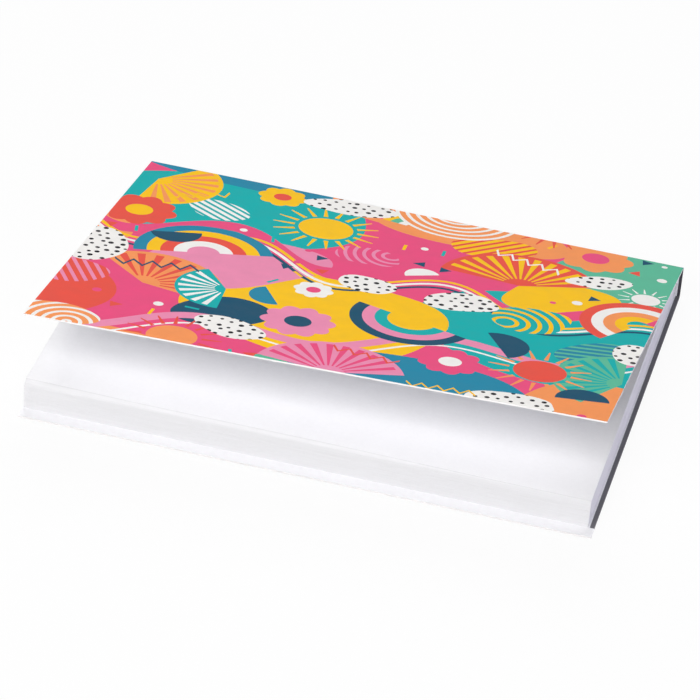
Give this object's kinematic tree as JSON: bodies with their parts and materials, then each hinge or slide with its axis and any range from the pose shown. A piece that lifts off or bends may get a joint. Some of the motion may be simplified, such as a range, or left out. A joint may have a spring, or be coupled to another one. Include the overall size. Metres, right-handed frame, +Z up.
{
  "type": "sticky note pad",
  "caption": "Landscape sticky note pad in a folded card cover, its printed front cover raised over a white block of notes.",
  "frame": {"origin": "middle of the footprint, on the surface that the pad lies on", "axes": "+X along the spine, which is the long side; +Y from the open edge to the spine; +Z up, out of the notes"},
  "size_m": [0.1012, 0.0782, 0.0229],
  "materials": {
    "cover_card": "coated card, smooth and white inside, with the same full-colour print outside",
    "printed_card": "coated card, full-colour satin print outside, smooth and white inside",
    "note_paper": "uncoated white paper, matt"
  },
  "bodies": {
    "pad": {"back_cover": "cover_card", "note_block": "note_paper"},
    "cover": {"front_cover": "printed_card"}
  },
  "joints": [
    {"name": "cover_hinge", "type": "hinge", "parent": "pad", "child": "cover", "pos_m": [0, 0.03898, 0.00645], "axis": [-1, 0, 0], "range_deg": [-10.6, 168.8]}
  ]
}
